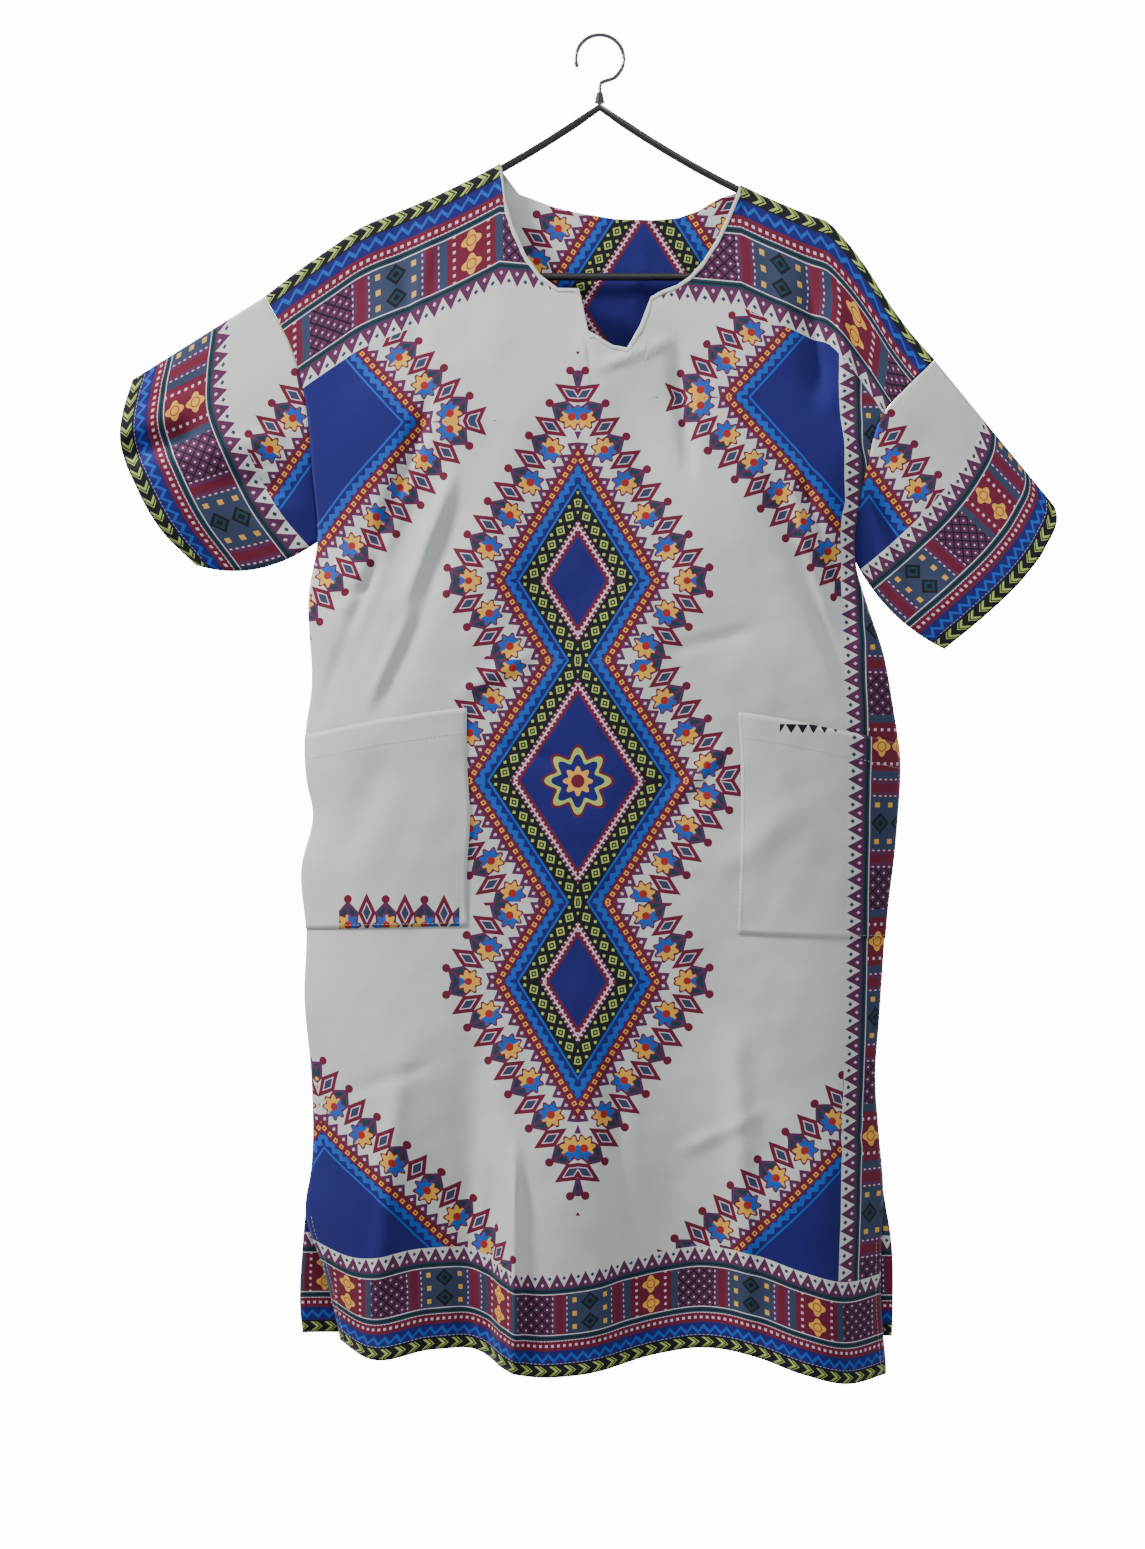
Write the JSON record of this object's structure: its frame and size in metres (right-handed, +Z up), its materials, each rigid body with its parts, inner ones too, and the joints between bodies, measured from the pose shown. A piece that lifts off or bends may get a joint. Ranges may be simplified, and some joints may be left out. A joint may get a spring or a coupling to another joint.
{
  "type": "dashiki shirt and coat hanger",
  "caption": "Loose printed cotton shirt with short wide sleeves, a notched round neck, patch pockets and side slits, hung on a slim closed coat hanger.",
  "frame": {"origin": "top of the inside of the hanger's hook, where a rail carries it", "axes": "+X to the right seen from the front, the front faces -Y, +Z up"},
  "size_m": [0.8467, 0.0816, 1.2202],
  "materials": {
    "printed_cotton": "matte",
    "pocket_cotton": "matte",
    "black_plastic": "gloss",
    "dark_steel": "satin"
  },
  "bodies": {
    "root": {"front_panel": "printed_cotton", "back_panel": "printed_cotton", "sleeve_left": "printed_cotton", "sleeve_right": "printed_cotton", "pocket_left": "pocket_cotton", "pocket_right": "pocket_cotton", "hanger_frame": "black_plastic", "hanger_ferrule": "black_plastic", "hanger_hook": "dark_steel"}
  },
  "joints": []
}
